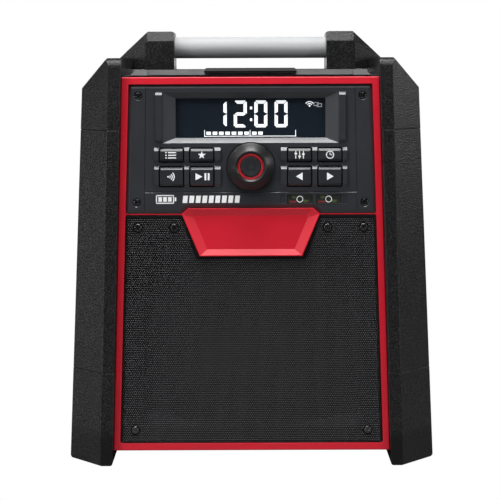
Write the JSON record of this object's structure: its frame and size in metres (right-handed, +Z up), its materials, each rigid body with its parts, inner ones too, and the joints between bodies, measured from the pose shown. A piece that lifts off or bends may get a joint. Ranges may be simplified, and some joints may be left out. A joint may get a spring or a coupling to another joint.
{
  "type": "jobsite radio",
  "caption": "Rugged tapered jobsite radio with side guards, bar handle, perforated grille, display panel with buttons and knob, phone compartment and rear battery bay.",
  "frame": {"origin": "on the floor, under the middle of the cabinet", "axes": "+Z up, front face towards -Y, +X to the right seen from the front"},
  "size_m": [0.3496, 0.2998, 0.4109],
  "materials": {
    "guard_plastic": "coarse moulded texture",
    "housing_plastic": "fine moulded texture",
    "red_plastic": "satin",
    "panel_plastic": "satin",
    "button_plastic": "satin, white print",
    "knob_rubber": "satin",
    "ring_plastic": "gloss",
    "clear_lens": "clear",
    "lcd_glass": "dark display with lit segments",
    "lamp_resin": "tinted resin",
    "grille_metal": "perforated, satin black",
    "screw_steel": "black oxide",
    "tube_aluminium": "satin anodised",
    "plain_plastic": "unfinished inner moulding",
    "frame_steel": "painted",
    "magnet": "plated",
    "cone_paper": null,
    "rubber": "matte",
    "board": "solder mask",
    "core_steel": "laminated",
    "sink_aluminium": "extruded",
    "pin_steel": "ground",
    "blade_brass": "plated"
  },
  "bodies": {
    "cabinet": {"amplifier_board": "board", "aux_jack": "plain_plastic", "battery_bay": "housing_plastic", "battery_terminals": "blade_brass", "charge_lamps": "lamp_resin", "charge_lenses": "clear_lens", "clock_cell": "plain_plastic", "control_board": "board", "control_panel": "panel_plastic", "cord_gland": "rubber", "display_lens": "clear_lens", "display_module": "lcd_glass", "ferrite_antenna": "plain_plastic", "foot_cap_left": "guard_plastic", "foot_cap_right": "guard_plastic", "foot_pads": "rubber", "front_bezel": "red_plastic", "front_housing": "housing_plastic", "front_screws": "screw_steel", "guard_cap_left": "guard_plastic", "guard_cap_right": "guard_plastic", "handle_arm_left": "guard_plastic", "handle_arm_right": "guard_plastic", "handle_screws": "screw_steel", "handle_tube": "tube_aluminium", "heat_sink": "sink_aluminium", "housing_screws": "screw_steel", "power_supply_board": "board", "radiator_surround": "rubber", "rear_housing": "housing_plastic", "rotary_encoder": "plain_plastic", "side_guard_left": "guard_plastic", "side_guard_right": "guard_plastic", "speaker_baffle": "plain_plastic", "speaker_frames": "frame_steel", "speaker_grille": "grille_metal", "speaker_magnets": "magnet", "speaker_surrounds": "rubber", "storage_tub": "plain_plastic", "terminal_block": "plain_plastic", "transformer": "core_steel", "usb_port": "frame_steel"},
    "storage_lid": {"storage_lid": "housing_plastic", "lid_gasket": "rubber", "lid_pins": "pin_steel"},
    "lid_latch": {"lid_latch": "housing_plastic"},
    "mode_button": {"mode_button": "button_plastic"},
    "preset_button": {"preset_button": "button_plastic"},
    "tone_button": {"tone_button": "button_plastic"},
    "clock_button": {"clock_button": "button_plastic"},
    "pair_button": {"pair_button": "button_plastic"},
    "play_button": {"play_button": "button_plastic"},
    "previous_button": {"previous_button": "button_plastic"},
    "next_button": {"next_button": "button_plastic"},
    "power_button": {"power_button": "button_plastic"},
    "volume_knob": {"volume_knob": "knob_rubber", "knob_ring": "ring_plastic"},
    "left_cone": {"left_speaker_cone": "cone_paper"},
    "right_cone": {"right_speaker_cone": "cone_paper"},
    "bass_radiator": {"bass_radiator": "cone_paper"}
  },
  "joints": [
    {"name": "lid_hinge", "type": "hinge", "parent": "cabinet", "child": "storage_lid", "pos_m": [0, -0.022, 0.3705], "axis": [-1, 0, 0], "range_deg": [0, 95]},
    {"name": "latch_pivot", "type": "hinge", "parent": "storage_lid", "child": "lid_latch", "pos_m": [0, -0.1, 0.3722], "axis": [-1, 0, 0], "range_deg": [0, 30], "stiffness_Nm_per_rad": 0.05, "springref_deg": -20.05},
    {"name": "knob_turn", "type": "hinge", "parent": "cabinet", "child": "volume_knob", "pos_m": [0, -0.12732, 0.28302], "axis": [0, -0.9986, 0.0523], "continuous": true},
    {"name": "power_push", "type": "slide", "parent": "cabinet", "child": "power_button", "axis": [0, 0.9986, -0.0523], "range_m": [0, 0.0008], "stiffness_N_per_m": 600, "springref_m": -0.001},
    {"name": "mode_push", "type": "slide", "parent": "cabinet", "child": "mode_button", "axis": [0, 0.9986, -0.0523], "range_m": [0, 0.001], "stiffness_N_per_m": 500, "springref_m": -0.001},
    {"name": "preset_push", "type": "slide", "parent": "cabinet", "child": "preset_button", "axis": [0, 0.9986, -0.0523], "range_m": [0, 0.001], "stiffness_N_per_m": 500, "springref_m": -0.001},
    {"name": "tone_push", "type": "slide", "parent": "cabinet", "child": "tone_button", "axis": [0, 0.9986, -0.0523], "range_m": [0, 0.001], "stiffness_N_per_m": 500, "springref_m": -0.001},
    {"name": "clock_push", "type": "slide", "parent": "cabinet", "child": "clock_button", "axis": [0, 0.9986, -0.0523], "range_m": [0, 0.001], "stiffness_N_per_m": 500, "springref_m": -0.001},
    {"name": "pair_push", "type": "slide", "parent": "cabinet", "child": "pair_button", "axis": [0, 0.9986, -0.0523], "range_m": [0, 0.001], "stiffness_N_per_m": 500, "springref_m": -0.001},
    {"name": "play_push", "type": "slide", "parent": "cabinet", "child": "play_button", "axis": [0, 0.9986, -0.0523], "range_m": [0, 0.001], "stiffness_N_per_m": 500, "springref_m": -0.001},
    {"name": "previous_push", "type": "slide", "parent": "cabinet", "child": "previous_button", "axis": [0, 0.9986, -0.0523], "range_m": [0, 0.001], "stiffness_N_per_m": 500, "springref_m": -0.001},
    {"name": "next_push", "type": "slide", "parent": "cabinet", "child": "next_button", "axis": [0, 0.9986, -0.0523], "range_m": [0, 0.001], "stiffness_N_per_m": 500, "springref_m": -0.001},
    {"name": "left_cone_travel", "type": "slide", "parent": "cabinet", "child": "left_cone", "axis": [0, -0.9986, 0.0523], "range_m": [-0.002, 0.002], "stiffness_N_per_m": 1500},
    {"name": "right_cone_travel", "type": "slide", "parent": "cabinet", "child": "right_cone", "axis": [0, -0.9986, 0.0523], "range_m": [-0.002, 0.002], "stiffness_N_per_m": 1500},
    {"name": "bass_radiator_travel", "type": "slide", "parent": "cabinet", "child": "bass_radiator", "axis": [0, -0.9986, 0.0523], "range_m": [-0.002, 0.002], "stiffness_N_per_m": 1000}
  ]
}
